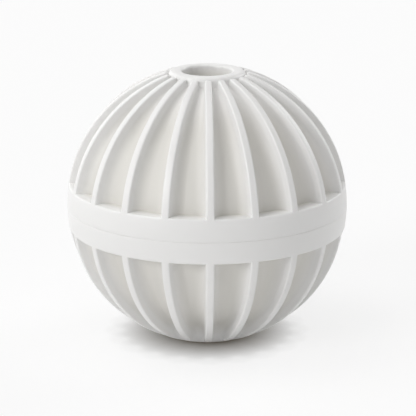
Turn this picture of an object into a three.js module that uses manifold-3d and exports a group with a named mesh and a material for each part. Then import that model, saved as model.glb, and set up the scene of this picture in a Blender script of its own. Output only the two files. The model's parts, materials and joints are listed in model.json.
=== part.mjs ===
// A washing ball: two ribbed half shells that twist together at the equator, a strainer
// behind each port, a soft seal in the joint and a charge of loose ceramic beads.
// Millimetres, +Z up, origin at the centre of the ball on the parting plane.

import * as THREE from 'three';
import { mergeVertices } from 'three/addons/utils/BufferGeometryUtils.js';
import Module from 'manifold-3d';

const wasm = await Module();
wasm.setup();

// The ball
const ballRadius = 45;
const panelDepth = 4.5;
const shellWall = 2.2;
const bandHalfHeight = 7.1;
const ledgeWall = 1.6;
const seamGap = 0.3;

// The ribs, which stand between recessed panels
const ribCount = 20;
const ribWidthAtBand = 2.5;
const ribWidthAtCollar = 2.1;
const ribDraft = THREE.MathUtils.degToRad(5);
const ribNose = 1.6;

// The collars, the ports and the strainers behind them
const collarRadius = 12.3;
const collarWall = 1.3;
const collarRound = 1.2;
const collarFoot = 0.2;
const portRadius = 8;
const portRound = 0.8;
const snapReach = 0.6;
const snapHeight = 0.6;
const strainerThickness = 1.2;
const slotCount = 6;
const slotWidth = 2.2;
const slotWeb = 0.6;
const slotMargin = 0.8;

// The twist joint
const fit = 0.3;
const skirtWall = 2.4;
const spigotWall = 2;
const lugStarts = 5;
const lugHeight = 1.1;
const lugThickness = 1;
const lugRoot = 0.6;
const lugLead = 36;
const lipWall = 1.6;
const sealShoulder = 0.5;

// The beads
const beadCount = 30;
const beadDiameter = 10;
const beadGap = 0.4;
const heapSpread = 0.5;
const settleSteps = 900;

// How finely the round forms are faceted
const turnSteps = 40;
const ribSteps = 6;
const floorFacets = 3;
const innerSteps = 6;
const edgeSteps = 2;
const noseSteps = 2;
const lugSteps = 3;
const sealSides = 6;
const discSteps = 24;
const slotSteps = 2;
const beadDetail = 1;

// Sizes that follow from the ones above, with heights counted from the parting plane
const across = (radius, height) => Math.sqrt(radius ** 2 - height ** 2);
const panelRadius = ballRadius - panelDepth;
const innerRadius = panelRadius - shellWall;
const ceiling = bandHalfHeight - ledgeWall;
const ceilingAngle = Math.acos(ceiling / innerRadius);
const ledgeAngle = Math.acos(bandHalfHeight / ballRadius);
const noseAngle = Math.asin((collarRadius + ribNose) / ballRadius);
const collarFace = across(ballRadius, collarRadius);
const collarSide = collarRadius + collarFoot;
const seatRadius = collarRadius - collarWall;
const snapRadius = seatRadius - snapReach;
const snapAngle = Math.asin(snapRadius / innerRadius);
const snapTop = across(innerRadius, snapRadius) + snapHeight;
const strainerRadius = seatRadius - fit;
const strainerBottom = snapTop + fit;
const seatHeight = strainerBottom + strainerThickness + fit;
const skirtBore = ballRadius - skirtWall;
const spigotRadius = skirtBore - fit - lugHeight;
const spigotTop = ceiling - fit;
const lipBore = ballRadius - lipWall;
const sealRadius = (lipBore - spigotRadius) / 2 - fit;
const sealCentre = (lipBore + spigotRadius) / 2;
const sealSeat = 2 * sealRadius + 2 * fit - seamGap / 2;
const lugBase = seamGap / 2 + fit;
const lugDrift = spigotTop - lugBase - 2 * lugThickness - 2 * fit;
const lugArc = (2 * Math.PI * lugDrift) / lugLead;
const beadRadius = beadDiameter / 2;

// A point of a half section: its distance from the axis, then its height
const point = (distance, height) => new THREE.Vector2(distance, height);
const centre = point(0, 0);

// An arc in a half section, with its angles measured from the direction of the pole
function arc(middle, radius, from, to, steps) {
  const points = [];
  for (let step = 0; step <= steps; step++) {
    const angle = THREE.MathUtils.lerp(from, to, step / steps);
    points.push(point(middle.x + radius * Math.sin(angle), middle.y + radius * Math.cos(angle)));
  }
  return points;
}

function solidOf(geometry) {
  geometry.deleteAttribute('normal');
  geometry.deleteAttribute('uv');
  const welded = mergeVertices(geometry);
  return new wasm.Manifold(new wasm.Mesh({
    numProp: 3,
    vertProperties: new Float32Array(welded.attributes.position.array),
    triVerts: new Uint32Array(welded.index.array),
  }));
}

function geometryOf(solid) {
  const mesh = solid.getMesh();
  const geometry = new THREE.BufferGeometry();
  geometry.setAttribute('position', new THREE.BufferAttribute(mesh.vertProperties, 3));
  geometry.setIndex(new THREE.BufferAttribute(mesh.triVerts, 1));
  geometry.computeVertexNormals();
  return geometry;
}

// A closed half section turned about the Z axis, with a facet in the direction of -Y
function revolve(section) {
  const geometry = new THREE.LatheGeometry([...section, section[0]], turnSteps, Math.PI / turnSteps);
  geometry.rotateX(Math.PI / 2);
  return geometry;
}

// A closed skin through rings of points that all have the same even count. The end rings
// are closed by strips between their two sides.
function loft(rings) {
  const size = rings[0].length;
  const last = (rings.length - 1) * size;
  const faces = [];
  for (let ring = 0; ring < last; ring += size) {
    for (let side = 0; side < size; side++) {
      const a = ring + side;
      const b = ring + ((side + 1) % size);
      faces.push(a, b, b + size, a, b + size, a + size);
    }
  }
  for (let a = 0; a < size / 2 - 1; a++) {
    const b = size - 1 - a;
    faces.push(a, b, b - 1, a, b - 1, a + 1);
    faces.push(last + a, last + b - 1, last + b, last + a, last + a + 1, last + b - 1);
  }
  const geometry = new THREE.BufferGeometry().setFromPoints(rings.flat());
  geometry.setIndex(faces);
  return geometry;
}

// The half section of a shell before its panels are cut: the ball with the noses of the
// ribs, the collar and its port, the strainer's seat and snap lip, and the inner wall. The
// joint under the band's ceiling differs, and is given from the inner wall out to the seam.
function shellSection(joint) {
  const noseMiddle = point(Math.sin(noseAngle), Math.cos(noseAngle)).setLength(ballRadius - ribNose);
  const noseEnd = Math.asin((collarRadius - noseMiddle.x) / ribNose);
  const collarMiddle = point(collarRadius - collarRound, collarFace - collarRound);
  const portMiddle = point(portRadius + portRound, collarFace - portRound);
  return [
    point(across(ballRadius, seamGap / 2), seamGap / 2),
    ...arc(centre, ballRadius, ledgeAngle, noseAngle, ribSteps),
    ...arc(noseMiddle, ribNose, noseAngle, noseEnd, noseSteps).slice(1),
    ...arc(collarMiddle, collarRound, Math.PI / 2, 0, edgeSteps),
    ...arc(portMiddle, portRound, 0, -Math.PI / 2, edgeSteps),
    point(portRadius, seatHeight),
    point(seatRadius, seatHeight),
    point(seatRadius, snapTop),
    point(snapRadius, snapTop),
    ...arc(centre, innerRadius, snapAngle, ceilingAngle, innerSteps),
    ...joint,
  ];
}

// What is cut away over one panel, between two ribs, the band's ledge and the collar. Each
// station along the panel has its floor, and the same drafted walls carried on past the ball.
function panelCut() {
  const radii = [panelRadius, ballRadius, ballRadius + panelDepth];
  const ledge = radii.map((radius) => point(across(radius, bandHalfHeight), bandHalfHeight));
  const ways = arc(centre, 1, ledgeAngle, noseAngle, ribSteps).slice(1, -1);
  const between = ways.map((way) => radii.map((radius) => way.clone().multiplyScalar(radius)));
  const collar = radii.map((radius) => point(collarSide, across(radius, collarSide)));
  const rings = [ledge, ...between, collar].map(([floor, crest, outside]) => {
    const share = (crest.x - collarRadius) / (ballRadius - collarRadius);
    const crestHalf = THREE.MathUtils.lerp(ribWidthAtCollar, ribWidthAtBand, share) / 2;
    const flare = panelDepth * Math.tan(ribDraft);
    const wall = (at, half) => Math.PI / ribCount - Math.asin(half / at.x);
    const floorWall = wall(floor, crestHalf + flare);
    const side = [
      { at: floor, angle: floorWall / floorFacets },
      { at: floor, angle: floorWall },
      { at: outside, angle: wall(outside, crestHalf - flare) },
    ];
    const ring = [...side.map(({ at, angle }) => ({ at, angle: -angle })), ...side.reverse()];
    return ring.map(({ at, angle }) => (
      new THREE.Vector3(at.x * Math.sin(angle), -at.x * Math.cos(angle), at.y)));
  });
  return loft(rings).rotateZ(Math.PI / ribCount);
}

// One lug of the joint: a short bar that climbs along the helix of the twist
function lug(innerSide, outerSide, base) {
  const rings = [];
  for (let step = 0; step <= lugSteps; step++) {
    const share = step / lugSteps;
    const angle = lugArc * (share - 1 / 2);
    const low = base + lugDrift * share;
    const high = low + lugThickness;
    const outline = [[innerSide, low], [innerSide, high], [outerSide, high], [outerSide, low]];
    rings.push(outline.map(([radius, height]) => (
      new THREE.Vector3(radius * Math.cos(angle), radius * Math.sin(angle), height))));
  }
  return loft(rings);
}

// A half shell with its panels cut, turned over for the lower half, and with its lugs
function halfShell(joint, turn, lugShape) {
  let solid = solidOf(revolve(shellSection(joint)).rotateX(turn));
  for (let copy = 0; copy < ribCount; copy++) {
    solid = solid.subtract(solidOf(panelCut().rotateZ((2 * Math.PI * copy) / ribCount).rotateX(turn)));
  }
  for (let copy = 0; copy < lugStarts; copy++) {
    solid = solid.add(solidOf(lugShape().rotateZ((2 * Math.PI * copy) / lugStarts)));
  }
  return geometryOf(solid);
}

// The upper half ends in a skirt, with lugs inside, that drops over the lower half's spigot
function upperShell() {
  const joint = [point(skirtBore, ceiling), point(skirtBore, seamGap / 2)];
  return halfShell(joint, 0, () => lug(spigotRadius + fit, skirtBore + lugRoot, lugBase));
}

// The lower half has the spigot, with lugs outside, and a groove that holds the seal
function lowerShell() {
  const spigotBore = spigotRadius - spigotWall;
  const grooveInner = spigotRadius + sealShoulder;
  const grooveOuter = lipBore - sealShoulder;
  const joint = [
    point(spigotBore, ceiling), point(spigotBore, -spigotTop),
    point(spigotRadius, -spigotTop), point(spigotRadius, sealSeat),
    point(grooveInner, sealSeat), point(grooveInner, ceiling),
    point(grooveOuter, ceiling), point(grooveOuter, sealSeat),
    point(lipBore, sealSeat), point(lipBore, seamGap / 2),
  ];
  const base = lugBase + lugThickness + fit;
  return halfShell(joint, Math.PI, () => lug(spigotRadius - lugRoot, skirtBore - fit, base));
}

// A round disc with radial slots, seated in a port from inside
function strainer() {
  const circle = new THREE.EllipseCurve(0, 0, strainerRadius, strainerRadius);
  const disc = new THREE.Shape(circle.getPoints(discSteps));
  const half = slotWidth / 2;
  const inner = (half + slotWeb / 2) / Math.sin(Math.PI / slotCount);
  const outer = portRadius - slotMargin - half;
  for (let copy = 0; copy < slotCount; copy++) {
    const angle = (2 * Math.PI * copy) / slotCount;
    const quarter = Math.PI / 2;
    const slot = new THREE.Path();
    slot.absarc(outer * Math.cos(angle), outer * Math.sin(angle), half, angle - quarter, angle + quarter);
    slot.absarc(inner * Math.cos(angle), inner * Math.sin(angle), half, angle + quarter, angle - quarter);
    disc.holes.push(new THREE.Path(slot.getPoints(slotSteps)));
  }
  const geometry = new THREE.ExtrudeGeometry(disc, { depth: strainerThickness, bevelEnabled: false });
  return geometry.translate(0, 0, strainerBottom);
}

// The soft ring that lies in the lower half's groove under the end of the skirt
function jointSeal() {
  const middle = point(sealCentre, sealSeat - fit - sealRadius);
  const section = arc(middle, sealRadius, 2 * Math.PI, 0, sealSides).slice(1);
  return revolve(section).rotateX(Math.PI);
}

// The beads settle in the lower half: they start on a rising spiral and sink, slower and
// slower, while each keeps clear of the others, of the wall and of the strainer
function beadCentres() {
  const reach = innerRadius - beadRadius - beadGap;
  const floor = beadRadius + beadGap - strainerBottom;
  const spacing = beadDiameter + beadGap;
  const goldenAngle = Math.PI * (3 - Math.sqrt(5));
  const centres = [];
  for (let bead = 0; bead < beadCount; bead++) {
    const out = heapSpread * reach * Math.sqrt((bead + 1 / 2) / beadCount);
    const angle = bead * goldenAngle;
    const height = floor + (beadRadius * bead) / 2;
    centres.push(new THREE.Vector3(out * Math.cos(angle), out * Math.sin(angle), height));
  }
  const apart = new THREE.Vector3();
  for (let step = 0; step < settleSteps; step++) {
    const fall = beadGap * Math.max(0, 1 - (2 * step) / settleSteps);
    centres.forEach((bead, index) => {
      bead.z -= fall;
      for (const other of centres.slice(0, index)) {
        apart.subVectors(bead, other);
        const overlap = spacing - apart.length();
        if (overlap > 0) {
          apart.setLength(overlap / 2);
          bead.add(apart);
          other.sub(apart);
        }
      }
      bead.clampLength(0, reach);
      bead.z = Math.max(bead.z, floor);
    });
  }
  return centres;
}

const finishes = {
  shell: new THREE.MeshStandardMaterial({ color: 0xe6e4df, roughness: 0.45, metalness: 0 }),
  strainer: new THREE.MeshStandardMaterial({ color: 0xd9d8d4, roughness: 0.5, metalness: 0 }),
  seal: new THREE.MeshStandardMaterial({ color: 0xb9c4c6, roughness: 0.6, metalness: 0 }),
  creamBead: new THREE.MeshStandardMaterial({ color: 0xe3d8c3, roughness: 0.8, metalness: 0 }),
  clayBead: new THREE.MeshStandardMaterial({ color: 0xb07a55, roughness: 0.85, metalness: 0 }),
  greyBead: new THREE.MeshStandardMaterial({ color: 0x8b8f8a, roughness: 0.8, metalness: 0 }),
};

const ball = new THREE.Group();

function place(name, geometry, finish) {
  const mesh = new THREE.Mesh(geometry, finish);
  mesh.name = name;
  ball.add(mesh);
  return mesh;
}

place('lower_shell', lowerShell(), finishes.shell);
place('upper_shell', upperShell(), finishes.shell);
place('upper_strainer', strainer(), finishes.strainer);
place('lower_strainer', strainer().rotateX(Math.PI), finishes.strainer);
place('joint_seal', jointSeal(), finishes.seal);

const beadFinishes = [finishes.creamBead, finishes.clayBead, finishes.greyBead];
beadCentres().forEach((at, index) => {
  const number = String(index + 1).padStart(2, '0');
  const finish = beadFinishes[index % beadFinishes.length];
  const bead = place(`ceramic_bead_${number}`, new THREE.IcosahedronGeometry(beadRadius, beadDetail), finish);
  bead.position.copy(at);
});

export default ball;
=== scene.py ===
import json
import math

import bmesh
import bpy
from mathutils import Matrix, Vector


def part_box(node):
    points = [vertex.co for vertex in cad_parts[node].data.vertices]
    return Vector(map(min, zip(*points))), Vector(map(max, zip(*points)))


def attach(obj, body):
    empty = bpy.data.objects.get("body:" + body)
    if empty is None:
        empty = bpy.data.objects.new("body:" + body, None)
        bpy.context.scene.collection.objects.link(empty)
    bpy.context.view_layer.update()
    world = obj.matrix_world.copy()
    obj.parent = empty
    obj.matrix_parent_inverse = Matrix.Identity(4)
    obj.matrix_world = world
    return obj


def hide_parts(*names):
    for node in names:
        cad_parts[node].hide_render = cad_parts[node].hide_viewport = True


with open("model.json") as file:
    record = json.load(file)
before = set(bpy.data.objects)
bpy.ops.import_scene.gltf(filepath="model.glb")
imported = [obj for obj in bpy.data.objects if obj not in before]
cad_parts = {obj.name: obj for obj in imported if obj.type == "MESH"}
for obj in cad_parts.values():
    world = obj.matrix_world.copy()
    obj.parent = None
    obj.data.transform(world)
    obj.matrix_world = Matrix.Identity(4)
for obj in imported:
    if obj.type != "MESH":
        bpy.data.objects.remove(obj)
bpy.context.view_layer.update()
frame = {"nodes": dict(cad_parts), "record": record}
mm = 0.001
mergeLimit = 0.0002 * mm
smoothBelow = 38  # degrees between faces, for moulded pieces
softBelow = 60  # for the soft seal and the rough beads
bevelFrom = math.radians(50)
print("frame loaded")


def deselectAll():
    if bpy.context.mode != "OBJECT":
        bpy.ops.object.mode_set(mode="OBJECT")
    bpy.ops.object.select_all(action="DESELECT")


def pick(piece):
    deselectAll()
    piece.select_set(True)
    bpy.context.view_layer.objects.active = piece


def named(name):
    piece = bpy.context.object
    piece.name = name
    piece.data.name = name
    return piece


def closeUp(piece):  # merges doubles, then turns all faces outwards
    pick(piece)
    bpy.ops.object.mode_set(mode="EDIT")
    bpy.ops.mesh.select_all(action="SELECT")
    bpy.ops.mesh.remove_doubles(threshold=mergeLimit)
    bpy.ops.mesh.normals_make_consistent(inside=False)
    bpy.ops.object.mode_set(mode="OBJECT")


def smooth(piece, degrees):
    pick(piece)
    bpy.ops.object.shade_smooth_by_angle(angle=math.radians(degrees))


def applyAll(piece):
    pick(piece)
    for modifier in list(piece.modifiers):
        bpy.ops.object.modifier_apply(modifier=modifier.name)


def selectVertices(piece, wanted):  # in edit mode, by place
    bpy.ops.mesh.select_mode(type="VERT")
    bpy.ops.mesh.select_all(action="DESELECT")
    grid = bmesh.from_edit_mesh(piece.data)
    for vertex in grid.verts:
        vertex.select_set(wanted(vertex.co))
    grid.select_flush_mode()
    bmesh.update_edit_mesh(piece.data)


def repeatRound(count):  # copies what is selected round the ball's axis, in edit mode
    full = 2 * math.pi
    bpy.ops.mesh.spin(
        steps=count - 1, dupli=True, angle=full - full / count, center=(0, 0, 0), axis=(0, 0, 1)
    )


# half sections: x is the distance from the axis, y the height over the parting plane
def onSphere(radius, height):
    return Vector((math.sqrt(radius**2 - height**2), height))


def towards(angle, radius):  # the angle is from the pole
    return Vector((radius * math.sin(angle), radius * math.cos(angle)))


def poleAngle(point):
    return math.atan2(point.x, point.y)


def arcAbout(middle, radius, start, end, steps):
    return [middle + towards(start + (end - start) * n / steps, radius) for n in range(steps + 1)]


def closer(start, end, steps, crowding=1.5):  # from start to end in steps that grow shorter
    return [end + (start - end) * (1 - n / steps) ** crowding for n in range(steps + 1)]


def roundCorner(before, corner, after, radius, steps):
    a = (before - corner).normalized()
    b = (after - corner).normalized()
    half = a.angle(b) / 2
    middle = corner + (a + b).normalized() * radius / math.sin(half)
    first = corner + a * radius / math.tan(half) - middle
    turn = first.angle_signed(corner + b * radius / math.tan(half) - middle)
    return [middle + Matrix.Rotation(-turn * n / steps, 2) @ first for n in range(steps + 1)]


def roundedLine(corners, radius, steps=2):  # both ends stay as they are
    line = [corners[0]]
    for before, corner, after in zip(corners, corners[1:], corners[2:]):
        line += roundCorner(before, corner, after, radius, steps)
    return line + [corners[-1]]


# the two half shells, in millimetres
shell = {
    "ballRadius": 45,
    "panelDepth": 4.5,
    "wall": 2.2,
    "bandHalfHeight": 7.1,
    "ledgeWall": 1.6,
    "ribCount": 20,
    "ribWidthAtBand": 2.5,
    "ribWidthAtCollar": 2.1,
    "ribDraft": math.radians(5),
    "ribEdge": 0.55,  # rounds the crest's edges
    "ribFoot": 3.2,  # rounds the corner between a rib and a panel
    "roundOfWidth": 0.8,  # the most that these rounds take of a rib's half width and of a panel's,
    "edgeOfDepth": 0.3,  # and of the panel's depth
    "footOfDepth": 0.65,
    "ribNose": 1.1,
    "tipLength": 1.5,
    "tipNarrows": 0.9,
    "ledgeEdge": 0.6,
    "endDepth": 2.6,  # the upper panels, at the collar
    "endStart": math.radians(46),
    "endRound": 1.5,
    "endLean": 0.5,
    "fadeStart": math.radians(35),  # the lower panels, from the pole
    "fadeEnd": math.radians(20.5),
    "fadeDepth": 0.06,
    "collarRadius": 12.3,
    "collarWall": 1.3,
    "collarRound": 1.5,
    "collarFoot": 0.3,
    "collarLift": 0.3,  # the upper collar's, so that its rim hides the rib tips behind it
    "grooveAngle": math.radians(80),
    "portRadius": 8,
    "portRound": 0.8,
    "snapReach": 0.6,
    "snapHeight": 0.6,
    "strainerThickness": 1.2,
    "fit": 0.3,
    "cornerRound": 0.15,
    "bandRows": 5,
    "crestRows": 32,
    "noseRows": 6,
    "endRows": 8,
    "roundRows": 6,
    "innerRows": 14,
    "ribColumns": 3,  # across half a rib
    "panelColumns": 6,  # across half a panel
    "edgeSteps": 4,
    "footSteps": 6,
}
panelRadius = shell["ballRadius"] - shell["panelDepth"]
innerRadius = panelRadius - shell["wall"]
ceiling = shell["bandHalfHeight"] - shell["ledgeWall"]
ribPitch = 2 * math.pi / shell["ribCount"]
collarFace = onSphere(shell["ballRadius"], shell["collarRadius"]).x
seatRadius = shell["collarRadius"] - shell["collarWall"]
snapRadius = seatRadius - shell["snapReach"]
snapTop = onSphere(innerRadius, snapRadius).x + shell["snapHeight"]
strainerBottom = snapTop + shell["fit"]
seatHeight = strainerBottom + shell["strainerThickness"] + shell["fit"]


def ledgeEdge():  # round the band's upper edge, from its sphere to the flat of the ledge
    corner = onSphere(shell["ballRadius"], shell["bandHalfHeight"])
    below = corner + Vector((corner.y, -corner.x))
    return roundCorner(below, corner, Vector((0, corner.y)), shell["ledgeEdge"], shell["edgeSteps"])


def shellSection(jointLine, seamLine, rim):
    # the closed half section through a rib, and the rows where the panel starts, where
    # the rib's nose starts and where the panel ends
    s = shell
    centre = Vector((0, 0))
    ledgeAngle = poleAngle(ledgeEdge()[0])
    collarMiddle = Vector((s["collarRadius"] - s["collarRound"], rim - s["collarRound"]))
    groove = collarMiddle + towards(s["grooveAngle"], s["collarRound"])
    reach = s["ballRadius"] - s["ribNose"]
    lean = (reach**2 + groove.length_squared - s["ribNose"] ** 2) / (2 * reach * groove.length)
    noseAngle = poleAngle(groove) + math.acos(lean)
    noseMiddle = towards(noseAngle, reach)
    portMiddle = Vector((s["portRadius"] + s["portRound"], rim - s["portRound"]))
    seat = [
        Vector((s["portRadius"], rim - 2 * s["portRound"])),
        Vector((s["portRadius"], seatHeight)),
        Vector((seatRadius, seatHeight)),
        Vector((seatRadius, snapTop)),
        Vector((snapRadius, snapTop)),
        onSphere(innerRadius, snapTop - s["snapHeight"]),
    ]
    rows = seamLine[:-1]
    rows += arcAbout(centre, s["ballRadius"], poleAngle(seamLine[-1]), ledgeAngle, s["bandRows"])
    ledgeAt = len(rows) - 1
    crest = closer(ledgeAngle, noseAngle, s["crestRows"])
    rows += [towards(angle, s["ballRadius"]) for angle in crest[1:]]
    noseAt = len(rows) - 1
    noseEnd = poleAngle(groove - noseMiddle)
    rows += arcAbout(noseMiddle, s["ribNose"], noseAngle, noseEnd, s["noseRows"])[1:]
    grooveAt = len(rows) - 1
    rows += arcAbout(collarMiddle, s["collarRound"], s["grooveAngle"], 0, s["roundRows"])[1:]
    rows += arcAbout(portMiddle, s["portRound"], 0, -math.pi / 2, s["roundRows"])
    rows += roundedLine(seat, s["cornerRound"])
    innerEnd = math.acos(ceiling / innerRadius)
    rows += arcAbout(centre, innerRadius, poleAngle(seat[-1]), innerEnd, s["innerRows"])[1:]
    rows += roundedLine([rows[-1]] + jointLine + [seamLine[0]], s["cornerRound"])[1:-1]
    return rows, ledgeAt, noseAt, grooveAt


def ribHalf(distance):  # half a rib's width, at a distance from the axis
    s = shell
    share = (distance - s["collarRadius"]) / (s["ballRadius"] - s["collarRadius"])
    return (s["ribWidthAtCollar"] + share * (s["ribWidthAtBand"] - s["ribWidthAtCollar"])) / 2


def ribSide(half, depth, room):  # a rib's side: sideways from its middle, and down from its crest
    s = shell
    corner = Vector((half, 0))
    foot = Vector((half + depth * math.tan(s["ribDraft"]), depth))
    edge = min(s["ribEdge"], s["roundOfWidth"] * half, s["edgeOfDepth"] * depth)
    fillet = min(s["ribFoot"], s["roundOfWidth"] * room, s["footOfDepth"] * depth)
    line = roundCorner(Vector((0, 0)), corner, foot, edge, s["edgeSteps"])
    return line + roundCorner(corner, foot, foot + Vector((1, 0)), fillet, s["footSteps"])


def floorLine(steps, end, farStart, endDepth):  # a panel's floor from the ledge, growing shallower
    s = shell
    start = poleAngle(onSphere(panelRadius, s["bandHalfHeight"]))
    line = []
    for angle in closer(start, end, steps):
        share = min((angle - end) / (farStart - end), 1)
        depth = endDepth + (s["panelDepth"] - endDepth) * share**2 * (3 - 2 * share)
        line.append(towards(angle, s["ballRadius"] - depth))
    return line


def floorToCollar(steps, groove):  # ends in a round up to the collar's side
    s = shell
    top = groove + towards(s["grooveAngle"] + math.pi / 2, s["collarFoot"])
    corner = onSphere(s["ballRadius"] - s["endDepth"], top.x + s["endLean"]).yx
    outwards = corner + Vector((corner.y, -corner.x))
    bend = roundCorner(outwards, corner, top, s["endRound"], s["endRows"] - 2)
    bendDepth = s["ballRadius"] - bend[0].length
    line = floorLine(steps + 1 - s["endRows"], poleAngle(bend[0]), s["endStart"], bendDepth)
    return line[:-1] + bend + [top]


def halfShell(name, jointLine, seamLine, flip):
    s = shell
    rim = collarFace if flip else collarFace + s["collarLift"]
    rows, ledgeAt, noseAt, grooveAt = shellSection(jointLine, seamLine, rim)
    columns = s["ribColumns"] + s["panelColumns"]  # half of them
    ledge = ledgeEdge()
    if flip:
        endAt = max(n for n in range(ledgeAt, noseAt) if poleAngle(rows[n]) > s["fadeEnd"])
        floors = floorLine(endAt - ledgeAt, poleAngle(rows[endAt]), s["fadeStart"], s["fadeDepth"])
    else:
        endAt = grooveAt
        floors = floorToCollar(endAt - ledgeAt, rows[grooveAt])
    sides = {}
    for row in range(ledgeAt, endAt + 1):
        half = ribHalf(max(rows[row].x, s["collarRadius"]))
        toTip = rows[row].x - rows[grooveAt].x
        if not flip and toTip < s["tipLength"]:
            half *= math.sqrt(1 - (s["tipNarrows"] * (1 - toTip / s["tipLength"])) ** 2)
        floor = floors[row - ledgeAt]
        depth = (floor - rows[row]).length
        room = floor.x * math.sin(ribPitch / 2) - half - depth * math.tan(s["ribDraft"])
        sides[row] = ribSide(half, depth, room)

    def turned(at, column, ribAngle):  # columns run from the middle of one rib to that of the next
        near = min(column, 2 * columns - column)
        if near <= s["ribColumns"]:
            angle = ribAngle * near / s["ribColumns"]
        else:
            share = (near - s["ribColumns"]) / s["panelColumns"]
            angle = ribAngle + (ribPitch / 2 - ribAngle) * share
        if column > columns:
            angle = ribPitch - angle
        height = -at.y if flip else at.y
        return Vector((at.x * math.sin(angle), -at.x * math.cos(angle), height)) * mm

    def onSkin(row, column):
        at = rows[row]
        if row in sides:
            return turned(at, column, math.asin(sides[row][0].x / at.x))
        distance = max(at.x, s["collarRadius"])
        return turned(at, column, math.asin((ribHalf(distance) - s["ribEdge"]) / distance))

    def inPanel(row, column, level):
        side = sides[row][level]
        if row > ledgeAt:
            at = rows[row].lerp(floors[row - ledgeAt], side.y / sides[row][-1].y)
        elif level < len(ledge):
            at = ledge[level]
        else:
            at = onSphere(s["ballRadius"] - side.y, s["bandHalfHeight"])
        return turned(at, column, math.asin(side.x / at.x))

    deselectAll()
    bpy.ops.mesh.primitive_grid_add(x_subdivisions=2 * columns, y_subdivisions=len(rows), size=2)
    piece = named(name)
    bpy.ops.object.mode_set(mode="EDIT")
    bpy.ops.mesh.select_mode(type="FACE")
    bpy.ops.mesh.select_all(action="DESELECT")
    grid = bmesh.from_edit_mesh(piece.data)
    rowTag = grid.verts.layers.int.new("row")
    columnTag = grid.verts.layers.int.new("column")
    for vertex in grid.verts:
        vertex[columnTag] = round((vertex.co.x + 1) * columns)
        vertex[rowTag] = round((vertex.co.y + 1) * len(rows) / 2) % len(rows)
        vertex.co = onSkin(vertex[rowTag], vertex[columnTag])
    for face in grid.faces:
        inRows = all(ledgeAt <= v[rowTag] <= endAt for v in face.verts)
        inColumns = all(abs(v[columnTag] - columns) <= s["panelColumns"] for v in face.verts)
        face.select_set(inRows and inColumns)
    bmesh.update_edit_mesh(piece.data)
    # the panel sinks, one ring of its walls after the other
    for level in range(1, len(sides[ledgeAt])):
        bpy.ops.mesh.extrude_region_move()
        grid = bmesh.from_edit_mesh(piece.data)
        rowTag = grid.verts.layers.int["row"]
        columnTag = grid.verts.layers.int["column"]
        for vertex in grid.verts:
            if vertex.select:
                vertex.co = inPanel(vertex[rowTag], vertex[columnTag], level)
        bmesh.update_edit_mesh(piece.data)
    bpy.ops.mesh.select_all(action="SELECT")
    repeatRound(s["ribCount"])
    bpy.ops.object.mode_set(mode="OBJECT")
    closeUp(piece)
    return piece


# the twist joint between the halves, in millimetres
twist = {
    "skirtBore": 42.6,
    "spigotRadius": 41.2,
    "spigotBore": 39.2,
    "spigotTop": 5.2,
    "lipBore": 43.4,
    "sealSeat": 2.05,
    "grooveInner": 41.7,
    "grooveOuter": 42.9,
    "seamHalfGap": 0.01,
    "upperSeamEdge": 0.05,
    "lowerSeamEdge": 0.22,
    "lugStarts": 5,
    "lugBase": 0.45,
    "lugThickness": 1,
    "lugRoot": 0.6,
    "lugDrift": 2.15,
    "lugLead": 36,
    "lugRound": 0.2,
    "lugRoundSteps": 2,
    "lugSteps": 12,
}


def seamEdge(radius):  # round a half's outer edge at the seam
    inner = Vector((twist["lipBore"], twist["seamHalfGap"]))
    corner = onSphere(shell["ballRadius"], twist["seamHalfGap"])
    return roundCorner(inner, corner, corner + Vector((0, 1)), radius, shell["edgeSteps"])


def addLugs(piece, innerSide, outerSide, base):
    # each lug is a bar swept along the helix of the twist
    t = twist
    sweep = 2 * math.pi * t["lugDrift"] / t["lugLead"]
    deselectAll()
    bpy.ops.mesh.primitive_plane_add(size=1)
    lugs = named("lugs")
    start = -sweep / 2
    for vertex in lugs.data.vertices:
        radius = outerSide if vertex.co.x > 0 else innerSide
        height = base + (t["lugThickness"] if vertex.co.y > 0 else 0)
        vertex.co = Vector((radius * math.cos(start), radius * math.sin(start), height)) * mm
    helix = lugs.modifiers.new("helix", "SCREW")
    helix.axis = "Z"
    helix.angle = sweep
    helix.screw_offset = t["lugDrift"] * mm
    helix.steps = t["lugSteps"]
    applyAll(lugs)
    bpy.ops.object.mode_set(mode="EDIT")
    bpy.ops.mesh.select_all(action="SELECT")
    bpy.ops.mesh.fill_holes(sides=0)
    bpy.ops.mesh.select_all(action="SELECT")
    bpy.ops.mesh.normals_make_consistent(inside=False)
    bpy.ops.mesh.select_mode(type="EDGE")
    bpy.ops.mesh.select_all(action="DESELECT")
    bpy.ops.mesh.edges_select_sharp(sharpness=bevelFrom)
    bpy.ops.mesh.bevel(offset=t["lugRound"] * mm, segments=t["lugRoundSteps"], affect="EDGES")
    bpy.ops.mesh.select_all(action="SELECT")
    repeatRound(t["lugStarts"])
    bpy.ops.object.mode_set(mode="OBJECT")
    deselectAll()
    lugs.select_set(True)
    piece.select_set(True)
    bpy.context.view_layer.objects.active = piece
    bpy.ops.object.join()


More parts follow.
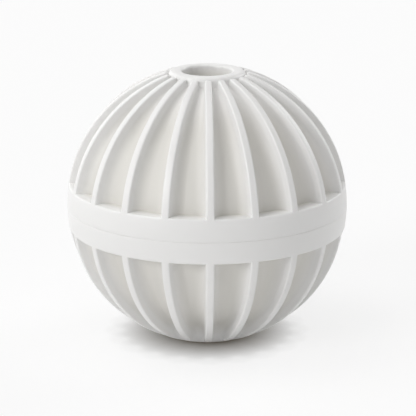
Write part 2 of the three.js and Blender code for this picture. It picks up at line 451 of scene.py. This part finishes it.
gap = twist["seamHalfGap"]
upperJoint = [Vector((twist["skirtBore"], ceiling)), Vector((twist["skirtBore"], gap))]
lowerJoint = [
    Vector((twist["spigotBore"], ceiling)),
    Vector((twist["spigotBore"], -twist["spigotTop"])),
    Vector((twist["spigotRadius"], -twist["spigotTop"])),
    Vector((twist["spigotRadius"], twist["sealSeat"])),
    Vector((twist["grooveInner"], twist["sealSeat"])),
    Vector((twist["grooveInner"], ceiling)),
    Vector((twist["grooveOuter"], ceiling)),
    Vector((twist["grooveOuter"], twist["sealSeat"])),
    Vector((twist["lipBore"], twist["sealSeat"])),
    Vector((twist["lipBore"], gap)),
]
upperShell = halfShell("upperShell", upperJoint, seamEdge(twist["upperSeamEdge"]), False)
addLugs(
    upperShell,
    twist["spigotRadius"] + shell["fit"],
    twist["skirtBore"] + twist["lugRoot"],
    twist["lugBase"],
)
lowerShell = halfShell("lowerShell", lowerJoint, seamEdge(twist["lowerSeamEdge"]), True)
addLugs(
    lowerShell,
    twist["spigotRadius"] - twist["lugRoot"],
    twist["skirtBore"] - shell["fit"],
    twist["lugBase"] + twist["lugThickness"] + shell["fit"],
)
for piece, body, node in (
    (upperShell, "upper_half", "upper_shell"),
    (lowerShell, "lower_half", "lower_shell"),
):
    smooth(piece, smoothBelow)
    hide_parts(node)
    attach(piece, body)
print("half shells modelled", len(upperShell.data.polygons), len(lowerShell.data.polygons))


# the strainers behind the ports, in millimetres
strainer = {
    "radius": 10.7,
    "slotCount": 6,
    "slotWidth": 2.2,
    "slotWeb": 0.6,
    "slotMargin": 0.8,
    "slotSides": 32,
    "edge": 0.2,
    "edgeSteps": 3,
    "sides": 96,
}


def makeStrainer(name, side):
    t = strainer
    thickness = shell["strainerThickness"] * mm
    middle = side * (strainerBottom * mm + thickness / 2)
    deselectAll()
    bpy.ops.mesh.primitive_cylinder_add(
        vertices=t["sides"], radius=t["radius"] * mm, depth=thickness, location=(0, 0, middle)
    )
    disc = named(name)
    bpy.ops.object.transform_apply(location=True, rotation=True, scale=True)
    inner = (t["slotWidth"] + t["slotWeb"]) / 2 / math.sin(math.pi / t["slotCount"])
    outer = shell["portRadius"] - t["slotMargin"] - t["slotWidth"] / 2
    deselectAll()
    bpy.ops.mesh.primitive_cylinder_add(
        vertices=t["slotSides"],
        radius=t["slotWidth"] / 2 * mm,
        depth=3 * thickness,
        location=(0, 0, 0),
    )
    cutter = named("slots")
    bpy.ops.object.mode_set(mode="EDIT")
    selectVertices(cutter, lambda at: at.x > mergeLimit)  # half the round, drawn out to a slot
    bpy.ops.transform.translate(value=((outer - inner) * mm, 0, 0))
    bpy.ops.mesh.select_all(action="SELECT")
    bpy.ops.transform.translate(value=(inner * mm, 0, middle))
    repeatRound(t["slotCount"])
    bpy.ops.object.mode_set(mode="OBJECT")
    pick(disc)
    cut = disc.modifiers.new("slots", "BOOLEAN")
    cut.operation = "DIFFERENCE"
    cut.object = cutter
    cut.solver = "EXACT"
    applyAll(disc)
    bpy.data.objects.remove(cutter)
    edges = disc.modifiers.new("edges", "BEVEL")
    edges.width = t["edge"] * mm
    edges.segments = t["edgeSteps"]
    edges.limit_method = "ANGLE"
    edges.angle_limit = bevelFrom
    applyAll(disc)
    smooth(disc, smoothBelow)
    return disc


upperStrainer = makeStrainer("upperStrainer", 1)
lowerStrainer = makeStrainer("lowerStrainer", -1)
for piece, body, node in (
    (upperStrainer, "upper_half", "upper_strainer"),
    (lowerStrainer, "lower_half", "lower_strainer"),
):
    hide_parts(node)
    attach(piece, body)
print("strainers cut")


# the soft seal, a ring of four lobes, in millimetres
seal = {
    "radius": 42.3,
    "height": -0.95,
    "thickness": 0.8,
    "waist": 0.18,
    "waistReach": 0.3,  # of the thickness, to each side
    "turns": 180,
    "sides": 24,
}
deselectAll()
bpy.ops.mesh.primitive_torus_add(
    major_radius=seal["radius"] * mm,
    minor_radius=seal["thickness"] * mm,
    major_segments=seal["turns"],
    minor_segments=seal["sides"],
    location=(0, 0, seal["height"] * mm),
)
jointSeal = named("jointSeal")
bpy.ops.object.transform_apply(location=True, rotation=True, scale=True)
bpy.ops.object.mode_set(mode="EDIT")


def inWaist(at):  # halfway between two lobes
    across = math.hypot(at.x, at.y) - seal["radius"] * mm
    up = at.z - seal["height"] * mm
    return min(abs(across), abs(up)) < seal["waistReach"] * seal["thickness"] * mm


selectVertices(jointSeal, inWaist)
bpy.ops.transform.shrink_fatten(value=-seal["waist"] * mm)
bpy.ops.object.mode_set(mode="OBJECT")
smooth(jointSeal, softBelow)
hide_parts("joint_seal")
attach(jointSeal, "seal")
print("seal shaped")


# the ceramic beads: one is shaped, and each copy is turned its own way
bead = {
    "radius": 4.93,
    "subdivisions": 4,
    "dents": 0.09,
    "seed": 5,
    "smoothing": 0.5,
    "smoothPasses": 4,
    "turn": 2.4,
    "tilt": 1.1,
}
deselectAll()
bpy.ops.mesh.primitive_ico_sphere_add(subdivisions=bead["subdivisions"], radius=bead["radius"] * mm)
firstBead = named("bead")
bpy.ops.object.mode_set(mode="EDIT")
bpy.ops.mesh.select_all(action="SELECT")
bpy.ops.transform.vertex_random(offset=bead["dents"] * mm, uniform=0, normal=1, seed=bead["seed"])
bpy.ops.mesh.vertices_smooth(factor=bead["smoothing"], repeat=bead["smoothPasses"])
bpy.ops.object.mode_set(mode="OBJECT")
smooth(firstBead, softBelow)
slotOf = {part["node"]: part["material_slot"] for part in frame["record"]["subparts"]}
beads = {}
for node in sorted(name for name in frame["nodes"] if name.startswith("ceramic_bead")):
    low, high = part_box(node)
    number = len(beads)
    copy = firstBead.copy()
    copy.data = firstBead.data.copy()
    copy.name = "ceramicBead" + node[-2:]
    copy.data.name = copy.name
    bpy.context.scene.collection.objects.link(copy)
    turn = Matrix.Rotation(bead["turn"] * number, 4, "Z")
    tilt = Matrix.Rotation(bead["tilt"] * number, 4, "X")
    copy.data.transform(Matrix.Translation((low + high) / 2) @ turn @ tilt)
    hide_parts(node)
    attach(copy, "lower_half")
    beads[node] = copy
bpy.data.objects.remove(firstBead)
print("beads laid", len(beads))


def newMaterial(name):
    material = bpy.data.materials.new(name)
    material.use_nodes = True
    return material, material.node_tree.nodes, material.node_tree.links


def newGroup(name, inputs, outputs):  # a shader node group whose sockets are plain values
    group = bpy.data.node_groups.new(name, "ShaderNodeTree")
    for label in inputs:
        group.interface.new_socket(label, in_out="INPUT", socket_type="NodeSocketFloat")
    for label in outputs:
        group.interface.new_socket(label, in_out="OUTPUT", socket_type="NodeSocketFloat")
    return group, group.nodes.new("NodeGroupInput"), group.nodes.new("NodeGroupOutput")


def setInputs(node, values):
    for label, value in values.items():
        node.inputs[label].default_value = value
    return node


def addNode(nodes, kind, values):
    return setInputs(nodes.new(kind), values)


def addGroup(nodes, group, values):
    node = nodes.new("ShaderNodeGroup")
    node.node_tree = group
    return setInputs(node, values)


def mixColours(nodes, links, factor, first, second):  # each is a colour, or a socket that gives one
    mix = nodes.new("ShaderNodeMix")
    mix.data_type = "RGBA"
    links.new(factor, mix.inputs["Factor"])
    ends = [socket for socket in mix.inputs if socket.type == "RGBA"]
    for end, colour in zip(ends, (first, second)):
        if isinstance(colour, bpy.types.NodeSocket):
            links.new(colour, end)
        else:
            end.default_value = (*colour, 1)
    return next(socket for socket in mix.outputs if socket.type == "RGBA")


def coat(piece, material):
    piece.data.materials.clear()
    piece.data.materials.append(material)


# fine grain of a moulded or fired skin, and slow drifts of tone and gloss
mouldGrain = {
    "Height": {"scale": "Grain Scale", "noise": {"Detail": 3, "Roughness": 0.6}},
    "Drift": {"scale": "Drift Scale", "noise": {"Detail": 2, "Roughness": 0.5}},
}
grainGroup, groupIn, groupOut = newGroup("mouldGrain", ("Grain Scale", "Drift Scale"), mouldGrain)
links = grainGroup.links
place = grainGroup.nodes.new("ShaderNodeTexCoord")
for label, layer in mouldGrain.items():
    noise = addNode(grainGroup.nodes, "ShaderNodeTexNoise", layer["noise"])
    links.new(place.outputs["Object"], noise.inputs["Vector"])
    links.new(groupIn.outputs[layer["scale"]], noise.inputs["Scale"])
    links.new(noise.outputs["Fac"], groupOut.inputs[label])

# grog specks in fired clay: 1 within a speck's core, 0 outside its edge
speckGroup, groupIn, groupOut = newGroup("grogSpecks", ("Scale", "Edge", "Core"), ("Mask",))
links = speckGroup.links
place = speckGroup.nodes.new("ShaderNodeTexCoord")
cells = speckGroup.nodes.new("ShaderNodeTexVoronoi")
speck = speckGroup.nodes.new("ShaderNodeMapRange")
links.new(place.outputs["Object"], cells.inputs["Vector"])
links.new(groupIn.outputs["Scale"], cells.inputs["Scale"])
links.new(cells.outputs["Distance"], speck.inputs["Value"])
links.new(groupIn.outputs["Edge"], speck.inputs["From Min"])
links.new(groupIn.outputs["Core"], speck.inputs["From Max"])
links.new(speck.outputs["Result"], groupOut.inputs["Mask"])


def grainedSkin(nodes, links, look):  # roughness and bump from the grain; gives back its slow drift
    skin = nodes["Principled BSDF"]
    skin.inputs["IOR"].default_value = look["ior"]
    scales = {"Grain Scale": look["grainScale"], "Drift Scale": look["driftScale"]}
    grain = addGroup(nodes, grainGroup, scales)
    low, high = look["roughness"]
    gloss = addNode(nodes, "ShaderNodeMapRange", {"To Min": low, "To Max": high})
    depth = look["bumpDepth"] * mm
    bump = addNode(nodes, "ShaderNodeBump", {"Strength": look["bump"], "Distance": depth})
    links.new(grain.outputs["Drift"], gloss.inputs["Value"])
    links.new(gloss.outputs["Result"], skin.inputs["Roughness"])
    links.new(grain.outputs["Height"], bump.inputs["Height"])
    links.new(bump.outputs["Normal"], skin.inputs["Normal"])
    return grain.outputs["Drift"]


def mouldedMaterial(look):
    material, nodes, links = newMaterial(look["name"])
    drift = grainedSkin(nodes, links, look)
    tone = mixColours(nodes, links, drift, look["dark"], look["light"])
    links.new(tone, nodes["Principled BSDF"].inputs["Base Color"])
    return material


def recessShadeAndGlossMaterial(look):  # moulded plastic with painted shade: its panels are painted darker than its proud faces, which are also smoother
    material = mouldedMaterial(look)
    nodes = material.node_tree.nodes
    links = material.node_tree.links
    skin = nodes["Principled BSDF"]
    place = nodes.new("ShaderNodeTexCoord")
    fromCentre = nodes.new("ShaderNodeVectorMath")
    fromCentre.operation = "LENGTH"
    # a mask, 0 deep in the panels and 1 on the proud faces, for the painted shade and the gloss
    reach = {"From Min": look["shadeAndGlossFrom"] * mm, "From Max": look["shadeAndGlossTo"] * mm}
    clearOfShadeAndSmooth = addNode(nodes, "ShaderNodeMapRange", reach)
    links.new(place.outputs["Object"], fromCentre.inputs["Vector"])
    links.new(fromCentre.outputs["Value"], clearOfShadeAndSmooth.inputs["Value"])
    tone = skin.inputs["Base Color"].links[0].from_socket
    # painted shade: the panels keep the darker tone, and the proud faces take the lighter one
    toneWithShade = mixColours(nodes, links, clearOfShadeAndSmooth.outputs["Result"], tone, look["unshadedTone"])
    links.new(toneWithShade, skin.inputs["Base Color"])
    gloss = addNode(nodes, "ShaderNodeMix", {"B": look["proudRoughness"]})
    links.new(clearOfShadeAndSmooth.outputs["Result"], gloss.inputs["Factor"])
    links.new(skin.inputs["Roughness"].links[0].from_socket, gloss.inputs["A"])
    links.new(gloss.outputs["Result"], skin.inputs["Roughness"])
    return material


def ceramicMaterial(look):  # fired clay: a mottled body with grog specks and fine pits
    material, nodes, links = newMaterial(look["name"])
    drift = grainedSkin(nodes, links, look)
    mottle = mixColours(nodes, links, drift, look["dark"], look["light"])
    sizes = {"Scale": look["speckScale"], "Edge": look["speckEdge"], "Core": look["speckCore"]}
    specks = addGroup(nodes, speckGroup, sizes)
    body = mixColours(nodes, links, specks.outputs["Mask"], mottle, look["speck"])
    links.new(body, nodes["Principled BSDF"].inputs["Base Color"])
    return material


shellPlastic = recessShadeAndGlossMaterial({
    "name": "shellPlastic",
    # painted shade: these panel tones are darker than the proud faces' tone, so that the recesses
    # look shaded
    "light": (0.695, 0.68, 0.643),
    "dark": (0.675, 0.66, 0.621),
    "unshadedTone": (0.81, 0.805, 0.795),
    "shadeAndGlossFrom": 40.5,  # millimetres from the ball's centre
    "shadeAndGlossTo": 43.2,
    "roughness": (0.48, 0.55),
    "proudRoughness": 0.34,
    "ior": 1.49,
    "grainScale": 6000,
    "driftScale": 60,
    "bump": 0.1,
    "bumpDepth": 0.02,
})
strainerPlastic = mouldedMaterial({
    "name": "strainerPlastic",
    "light": (0.79, 0.785, 0.765),
    "dark": (0.75, 0.745, 0.725),
    "roughness": (0.45, 0.55),
    "ior": 1.49,
    "grainScale": 6000,
    "driftScale": 120,
    "bump": 0.12,
    "bumpDepth": 0.02,
})
sealSilicone = mouldedMaterial({
    "name": "sealSilicone",
    "light": (0.52, 0.58, 0.59),
    "dark": (0.47, 0.53, 0.54),
    "roughness": (0.55, 0.7),
    "ior": 1.41,
    "grainScale": 4000,
    "driftScale": 150,
    "bump": 0.15,
    "bumpDepth": 0.02,
})
for piece, material in (
    (upperShell, shellPlastic),
    (lowerShell, shellPlastic),
    (upperStrainer, strainerPlastic),
    (lowerStrainer, strainerPlastic),
    (jointSeal, sealSilicone),
):
    coat(piece, material)

# three clays, fired alike
clays = {
    "bead_cream": {
        "name": "creamClay",
        "light": (0.78, 0.7, 0.56),
        "dark": (0.68, 0.59, 0.45),
        "speck": (0.42, 0.34, 0.24),
    },
    "bead_clay": {
        "name": "redClay",
        "light": (0.5, 0.25, 0.14),
        "dark": (0.4, 0.18, 0.1),
        "speck": (0.2, 0.09, 0.05),
    },
    "bead_grey": {
        "name": "greyClay",
        "light": (0.31, 0.33, 0.31),
        "dark": (0.23, 0.25, 0.23),
        "speck": (0.09, 0.1, 0.09),
    },
}
firing = {
    "speckScale": 900,
    "speckEdge": 0.28,
    "speckCore": 0.168,
    "roughness": (0.65, 0.85),
    "ior": 1.5,
    "grainScale": 2500,
    "driftScale": 350,
    "bump": 0.35,
    "bumpDepth": 0.05,
}
fired = {slot: ceramicMaterial({**clay, **firing}) for slot, clay in clays.items()}
for node, piece in beads.items():
    coat(piece, fired[slotOf[node]])
print("materials made")


def around(azimuth, elevation):  # a direction from the ball, in degrees: front 0, left -90
    turn = math.radians(azimuth)
    lift = math.radians(elevation)
    level = math.cos(lift)
    return Vector((math.sin(turn) * level, -math.cos(turn) * level, math.sin(lift)))


def facingBall(place):
    return (-place).to_track_quat("-Z", "Y").to_euler()


# the camera stands a little to the left of the front rib and looks down on the ball
camera = {
    "azimuth": -1.28,
    "elevation": 15.78,
    "distance": 0.63,
    "lens": 168.8,
    "sensor": 36,
    "shiftX": 0.002,
    "shiftY": -0.0133,
    "nearest": 0.01,
}
eyeAt = around(camera["azimuth"], camera["elevation"]) * camera["distance"]
deselectAll()
bpy.ops.object.camera_add(location=eyeAt, rotation=facingBall(eyeAt))
eye = bpy.context.object
eye.name = "eye"
eye.data.sensor_width = camera["sensor"]
eye.data.lens = camera["lens"]
eye.data.shift_x = camera["shiftX"]
eye.data.shift_y = camera["shiftY"]
eye.data.clip_start = camera["nearest"]
bpy.context.scene.camera = eye

# a white floor under the ball, and soft lamps all round it
studio = {
    "floorSize": 12,
    "floorColour": (0.95, 0.95, 0.95),
    "white": 0.985,
    "contactReach": 10,  # millimetres
    "contactShade": (0.045, 0.031, 0.012),
    "contactSamples": 24,
    "castShare": 0.22,  # how much of the lamps' own shadows the floor shows
    "castColour": (1, 1, 1),
    "sky": 0.02,
    "lamps": [
        {"name": "keyLeft", "azimuth": -100, "elevation": 60, "angle": 36, "strength": 0.45},
        {"name": "keyFront", "azimuth": -50, "elevation": 24, "angle": 26, "strength": 1.12},
        {"name": "wallLeft", "azimuth": -120, "elevation": 18, "angle": 100, "strength": 1.3},
        {"name": "wallFront", "azimuth": -10, "elevation": 12, "angle": 100, "strength": 0.44},
        {"name": "lowRight", "azimuth": 62, "elevation": 4, "angle": 70, "strength": 0.54},
        {"name": "rimRight", "azimuth": 126, "elevation": 28, "angle": 36, "strength": 0.9},
        {"name": "overhead", "azimuth": -30, "elevation": 82, "angle": 60, "strength": 0.8},
    ],
}
deselectAll()
bpy.ops.mesh.primitive_plane_add(size=studio["floorSize"], location=(0, 0, -collarFace * mm))
floor = named("floor")
bpy.ops.object.transform_apply(location=True, rotation=True, scale=True)


def seenDirectly(nodes, links):  # 1 for what a camera, gloss or glass sees, 0 for light alone
    rays = nodes.new("ShaderNodeLightPath")
    seen = rays.outputs["Is Camera Ray"]
    for label in ("Is Glossy Ray", "Is Transmission Ray"):
        either = nodes.new("ShaderNodeMath")
        either.operation = "MAXIMUM"
        links.new(seen, either.inputs[0])
        links.new(rays.outputs[label], either.inputs[1])
        seen = either.outputs["Value"]
    return seen


def chooseShader(nodes, links, factor, first, second):
    choice = nodes.new("ShaderNodeMixShader")
    links.new(factor, choice.inputs["Fac"])
    links.new(first, choice.inputs[1])
    links.new(second, choice.inputs[2])
    return choice.outputs["Shader"]


# the floor lights the ball as white paint does and shows white, with a shade where the ball stands
floorWhite, nodes, links = newMaterial("floorWhite")
nodes.remove(nodes["Principled BSDF"])
paint = addNode(nodes, "ShaderNodeBsdfDiffuse", {"Color": (*studio["floorColour"], 1)})
cast = addNode(nodes, "ShaderNodeBsdfDiffuse", {"Color": (*studio["castColour"], 1)})
contact = addNode(nodes, "ShaderNodeAmbientOcclusion", {"Distance": studio["contactReach"] * mm})
contact.samples = studio["contactSamples"]
white = (studio["white"],) * 3
shown = nodes.new("ShaderNodeEmission")
tint = mixColours(nodes, links, contact.outputs["AO"], studio["contactShade"], white)
links.new(tint, shown.inputs["Color"])
shaded = addNode(nodes, "ShaderNodeMixShader", {"Fac": studio["castShare"]})
links.new(shown.outputs["Emission"], shaded.inputs[1])
links.new(cast.outputs["BSDF"], shaded.inputs[2])
seen = seenDirectly(nodes, links)
surface = chooseShader(nodes, links, seen, paint.outputs["BSDF"], shaded.outputs["Shader"])
links.new(surface, nodes["Material Output"].inputs["Surface"])
coat(floor, floorWhite)

for lamp in studio["lamps"]:
    lampAt = around(lamp["azimuth"], lamp["elevation"])
    deselectAll()
    bpy.ops.object.light_add(type="SUN", location=lampAt, rotation=facingBall(lampAt))
    bpy.context.object.name = lamp["name"]
    bpy.context.object.data.energy = lamp["strength"]
    bpy.context.object.data.angle = math.radians(lamp["angle"])

# a faint sky gives light, and the camera sees the floor's white in its place
world = bpy.data.worlds.new("studio")
bpy.context.scene.world = world
world.use_nodes = True
nodes = world.node_tree.nodes
links = world.node_tree.links
sky = setInputs(nodes["Background"], {"Color": (1, 1, 1, 1), "Strength": studio["sky"]})
backdrop = addNode(
    nodes, "ShaderNodeBackground", {"Color": (1, 1, 1, 1), "Strength": studio["white"]}
)
seen = seenDirectly(nodes, links)
background = chooseShader(
    nodes, links, seen, sky.outputs["Background"], backdrop.outputs["Background"]
)
links.new(background, nodes["World Output"].inputs["Surface"])
bpy.context.scene.view_settings.view_transform = "Standard"
print("stage lit")
